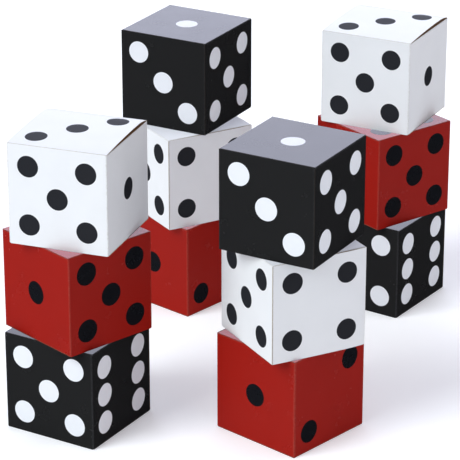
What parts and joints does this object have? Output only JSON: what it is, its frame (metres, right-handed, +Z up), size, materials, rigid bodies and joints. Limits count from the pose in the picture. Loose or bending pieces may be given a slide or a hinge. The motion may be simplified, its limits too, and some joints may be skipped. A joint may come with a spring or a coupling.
{
  "type": "stacked giant yard dice",
  "caption": "Giant folded-board dice with round pips, stacked in columns; tuck-end lids hinge open and dice lift off.",
  "frame": {"origin": "middle of the underside of the bottom die of the front left stack, on the ground", "axes": "+Z up, +X from the left stacks to the right ones, +Y from the front stacks to the back ones"},
  "size_m": [1.3456, 1.4686, 0.91],
  "materials": {
    "white_board": "satin",
    "red_board": "satin",
    "black_board": "gloss"
  },
  "bodies": {
    "front_left_bottom": {"front_left_bottom_sleeve": "black_board", "front_left_bottom_lid": "black_board", "front_left_bottom_dust_flaps": "black_board", "front_left_bottom_base": "black_board"},
    "front_left_middle": {"front_left_middle_sleeve": "red_board", "front_left_middle_lid": "red_board", "front_left_middle_dust_flaps": "red_board", "front_left_middle_base": "red_board"},
    "front_left_top": {"front_left_top_sleeve": "white_board", "front_left_top_base": "white_board"},
    "front_left_top_lid": {"front_left_top_lid": "white_board"},
    "front_left_top_lid_tuck": {"front_left_top_lid_tuck": "white_board"},
    "front_left_top_dust_flap_1": {"front_left_top_dust_flap_1": "white_board"},
    "front_left_top_dust_flap_6": {"front_left_top_dust_flap_6": "white_board"},
    "front_right_bottom": {"front_right_bottom_sleeve": "red_board", "front_right_bottom_lid": "red_board", "front_right_bottom_dust_flaps": "red_board", "front_right_bottom_base": "red_board"},
    "front_right_middle": {"front_right_middle_sleeve": "white_board", "front_right_middle_base": "white_board"},
    "front_right_middle_lid": {"front_right_middle_lid": "white_board"},
    "front_right_middle_lid_tuck": {"front_right_middle_lid_tuck": "white_board"},
    "front_right_middle_dust_flap_1": {"front_right_middle_dust_flap_1": "white_board"},
    "front_right_middle_dust_flap_6": {"front_right_middle_dust_flap_6": "white_board"},
    "front_right_top": {"front_right_top_sleeve": "black_board", "front_right_top_base": "black_board"},
    "front_right_top_lid": {"front_right_top_lid": "black_board"},
    "front_right_top_lid_tuck": {"front_right_top_lid_tuck": "black_board"},
    "front_right_top_dust_flap_1": {"front_right_top_dust_flap_1": "black_board"},
    "front_right_top_dust_flap_6": {"front_right_top_dust_flap_6": "black_board"},
    "back_right_bottom": {"back_right_bottom_sleeve": "black_board", "back_right_bottom_lid": "black_board", "back_right_bottom_dust_flaps": "black_board", "back_right_bottom_base": "black_board"},
    "back_right_middle": {"back_right_middle_sleeve": "red_board", "back_right_middle_lid": "red_board", "back_right_middle_dust_flaps": "red_board", "back_right_middle_base": "red_board"},
    "back_right_top": {"back_right_top_sleeve": "white_board", "back_right_top_base": "white_board"},
    "back_right_top_lid": {"back_right_top_lid": "white_board"},
    "back_right_top_lid_tuck": {"back_right_top_lid_tuck": "white_board"},
    "back_right_top_dust_flap_1": {"back_right_top_dust_flap_1": "white_board"},
    "back_right_top_dust_flap_6": {"back_right_top_dust_flap_6": "white_board"},
    "back_left_bottom": {"back_left_bottom_sleeve": "red_board", "back_left_bottom_lid": "red_board", "back_left_bottom_dust_flaps": "red_board", "back_left_bottom_base": "red_board"},
    "back_left_middle": {"back_left_middle_sleeve": "white_board", "back_left_middle_base": "white_board"},
    "back_left_middle_lid": {"back_left_middle_lid": "white_board"},
    "back_left_middle_lid_tuck": {"back_left_middle_lid_tuck": "white_board"},
    "back_left_middle_dust_flap_1": {"back_left_middle_dust_flap_1": "white_board"},
    "back_left_middle_dust_flap_6": {"back_left_middle_dust_flap_6": "white_board"},
    "back_left_top": {"back_left_top_sleeve": "black_board", "back_left_top_base": "black_board"},
    "back_left_top_lid": {"back_left_top_lid": "black_board"},
    "back_left_top_lid_tuck": {"back_left_top_lid_tuck": "black_board"},
    "back_left_top_dust_flap_1": {"back_left_top_dust_flap_1": "black_board"},
    "back_left_top_dust_flap_6": {"back_left_top_dust_flap_6": "black_board"}
  },
  "joints": [
    {"name": "front_left_middle_lift", "type": "slide", "parent": "front_left_bottom", "child": "front_left_middle", "axis": [0, 0, 1], "range_m": [0, 0.3]},
    {"name": "front_left_top_lift", "type": "slide", "parent": "front_left_middle", "child": "front_left_top", "axis": [0, 0, 1], "range_m": [0, 0.3]},
    {"name": "front_left_top_lid_open", "type": "hinge", "parent": "front_left_top", "child": "front_left_top_lid", "pos_m": [0.0663, 0.12595, 0.8985], "axis": [-0.9397, 0.342, 0], "range_deg": [0, 120]},
    {"name": "front_left_top_lid_tuck_fold", "type": "hinge", "parent": "front_left_top_lid", "child": "front_left_top_lid_tuck", "pos_m": [-0.03494, -0.15219, 0.8985], "axis": [0.9397, -0.342, 0], "range_deg": [0, 90]},
    {"name": "front_left_top_dust_flap_1_fold", "type": "hinge", "parent": "front_left_top", "child": "front_left_top_dust_flap_1", "pos_m": [0.15436, -0.06572, 0.8968], "axis": [-0.342, -0.9397, 0], "range_deg": [0, 90]},
    {"name": "front_left_top_dust_flap_6_fold", "type": "hinge", "parent": "front_left_top", "child": "front_left_top_dust_flap_6", "pos_m": [-0.12436, 0.03572, 0.8968], "axis": [0.342, 0.9397, 0], "range_deg": [0, 90]},
    {"name": "front_right_stack_slide", "type": "slide", "parent": "front_left_bottom", "child": "front_right_bottom", "axis": [1, 0, 0], "range_m": [0, 0.25]},
    {"name": "front_right_middle_lift", "type": "slide", "parent": "front_right_bottom", "child": "front_right_middle", "axis": [0, 0, 1], "range_m": [0, 0.3]},
    {"name": "front_right_middle_lid_open", "type": "hinge", "parent": "front_right_middle", "child": "front_right_middle_lid", "pos_m": [0.82216, -0.1307, 0.45], "axis": [0, 0, 1], "range_deg": [0, 110]},
    {"name": "front_right_middle_lid_tuck_fold", "type": "hinge", "parent": "front_right_middle_lid", "child": "front_right_middle_lid_tuck", "pos_m": [0.56081, -0.26966, 0.45], "axis": [0, 0, -1], "range_deg": [0, 90]},
    {"name": "front_right_middle_dust_flap_6_fold", "type": "hinge", "parent": "front_right_middle", "child": "front_right_middle_dust_flap_6", "pos_m": [0.68892, -0.19962, 0.3017], "axis": [-0.8829, -0.4695, 0], "range_deg": [0, 90]},
    {"name": "front_right_middle_dust_flap_1_fold", "type": "hinge", "parent": "front_right_middle", "child": "front_right_middle_dust_flap_1", "pos_m": [0.68892, -0.19962, 0.5983], "axis": [0.8829, 0.4695, 0], "range_deg": [0, 90]},
    {"name": "front_right_top_lift", "type": "slide", "parent": "front_right_middle", "child": "front_right_top", "axis": [0, 0, 1], "range_m": [0, 0.3]},
    {"name": "front_right_top_lid_open", "type": "hinge", "parent": "front_right_top", "child": "front_right_top_lid", "pos_m": [0.41085, -0.1486, 0.75], "axis": [0, 0, -1], "range_deg": [0, 110]},
    {"name": "front_right_top_lid_tuck_fold", "type": "hinge", "parent": "front_right_top_lid", "child": "front_right_top_lid_tuck", "pos_m": [0.66719, -0.29661, 0.75], "axis": [0, 0, 1], "range_deg": [0, 90]},
    {"name": "front_right_top_dust_flap_1_fold", "type": "hinge", "parent": "front_right_top", "child": "front_right_top_dust_flap_1", "pos_m": [0.5416, -0.22213, 0.8983], "axis": [0.866, -0.5, 0], "range_deg": [0, 90]},
    {"name": "front_right_top_dust_flap_6_fold", "type": "hinge", "parent": "front_right_top", "child": "front_right_top_dust_flap_6", "pos_m": [0.5416, -0.22213, 0.6017], "axis": [-0.866, 0.5, 0], "range_deg": [0, 90]},
    {"name": "back_right_stack_slide", "type": "slide", "parent": "front_left_bottom", "child": "back_right_bottom", "axis": [0, 1, 0], "range_m": [0, 0.25]},
    {"name": "back_right_middle_lift", "type": "slide", "parent": "back_right_bottom", "child": "back_right_middle", "axis": [0, 0, 1], "range_m": [0, 0.3]},
    {"name": "back_right_top_lift", "type": "slide", "parent": "back_right_middle", "child": "back_right_top", "axis": [0, 0, 1], "range_m": [0, 0.3]},
    {"name": "back_right_top_lid_open", "type": "hinge", "parent": "back_right_top", "child": "back_right_top_lid", "pos_m": [0.9981, 1.09865, 0.8985], "axis": [-0.891, 0.454, 0], "range_deg": [0, 120]},
    {"name": "back_right_top_lid_tuck_fold", "type": "hinge", "parent": "back_right_top_lid", "child": "back_right_top_lid_tuck", "pos_m": [0.86372, 0.83491, 0.8985], "axis": [0.891, -0.454, 0], "range_deg": [0, 90]},
    {"name": "back_right_top_dust_flap_1_fold", "type": "hinge", "parent": "back_right_top", "child": "back_right_top_dust_flap_1", "pos_m": [1.06214, 0.89767, 0.8968], "axis": [-0.454, -0.891, 0], "range_deg": [0, 90]},
    {"name": "back_right_top_dust_flap_6_fold", "type": "hinge", "parent": "back_right_top", "child": "back_right_top_dust_flap_6", "pos_m": [0.79786, 1.03233, 0.8968], "axis": [0.454, 0.891, 0], "range_deg": [0, 90]},
    {"name": "back_left_stack_slide", "type": "slide", "parent": "front_left_bottom", "child": "back_left_bottom", "axis": [0, 1, 0], "range_m": [0, 0.25]},
    {"name": "back_left_middle_lift", "type": "slide", "parent": "back_left_bottom", "child": "back_left_middle", "axis": [0, 0, 1], "range_m": [0, 0.3]},
    {"name": "back_left_middle_lid_open", "type": "hinge", "parent": "back_left_middle", "child": "back_left_middle_lid", "pos_m": [0.50915, 0.8664, 0.45], "axis": [0, 0, 1], "range_deg": [0, 110]},
    {"name": "back_left_middle_lid_tuck_fold", "type": "hinge", "parent": "back_left_middle_lid", "child": "back_left_middle_lid_tuck", "pos_m": [0.25281, 0.7184, 0.45], "axis": [0, 0, -1], "range_deg": [0, 90]},
    {"name": "back_left_middle_dust_flap_6_fold", "type": "hinge", "parent": "back_left_middle", "child": "back_left_middle_dust_flap_6", "pos_m": [0.3784, 0.79287, 0.3017], "axis": [-0.866, -0.5, 0], "range_deg": [0, 90]},
    {"name": "back_left_middle_dust_flap_1_fold", "type": "hinge", "parent": "back_left_middle", "child": "back_left_middle_dust_flap_1", "pos_m": [0.3784, 0.79287, 0.5983], "axis": [0.866, 0.5, 0], "range_deg": [0, 90]},
    {"name": "back_left_top_lift", "type": "slide", "parent": "back_left_middle", "child": "back_left_top", "axis": [0, 0, 1], "range_m": [0, 0.3]},
    {"name": "back_left_top_lid_open", "type": "hinge", "parent": "back_left_top", "child": "back_left_top_lid", "pos_m": [0.10181, 0.90784, 0.75], "axis": [0, 0, -1], "range_deg": [0, 110]},
    {"name": "back_left_top_lid_tuck_fold", "type": "hinge", "parent": "back_left_top_lid", "child": "back_left_top_lid_tuck", "pos_m": [0.3607, 0.76434, 0.75], "axis": [0, 0, 1], "range_deg": [0, 90]},
    {"name": "back_left_top_dust_flap_1_fold", "type": "hinge", "parent": "back_left_top", "child": "back_left_top_dust_flap_1", "pos_m": [0.23383, 0.83661, 0.8983], "axis": [0.8746, -0.4848, 0], "range_deg": [0, 90]},
    {"name": "back_left_top_dust_flap_6_fold", "type": "hinge", "parent": "back_left_top", "child": "back_left_top_dust_flap_6", "pos_m": [0.23383, 0.83661, 0.6017], "axis": [-0.8746, 0.4848, 0], "range_deg": [0, 90]}
  ],
  "couplings": [
    {"joint": "front_left_top_lid_tuck_fold", "follows": "front_left_top_lid_open", "ratio": 0.7},
    {"joint": "front_right_middle_lid_tuck_fold", "follows": "front_right_middle_lid_open", "ratio": 0.7},
    {"joint": "front_right_top_lid_tuck_fold", "follows": "front_right_top_lid_open", "ratio": 0.7},
    {"joint": "back_right_top_lid_tuck_fold", "follows": "back_right_top_lid_open", "ratio": 0.7},
    {"joint": "back_left_middle_lid_tuck_fold", "follows": "back_left_middle_lid_open", "ratio": 0.7},
    {"joint": "back_left_top_lid_tuck_fold", "follows": "back_left_top_lid_open", "ratio": 0.7}
  ]
}
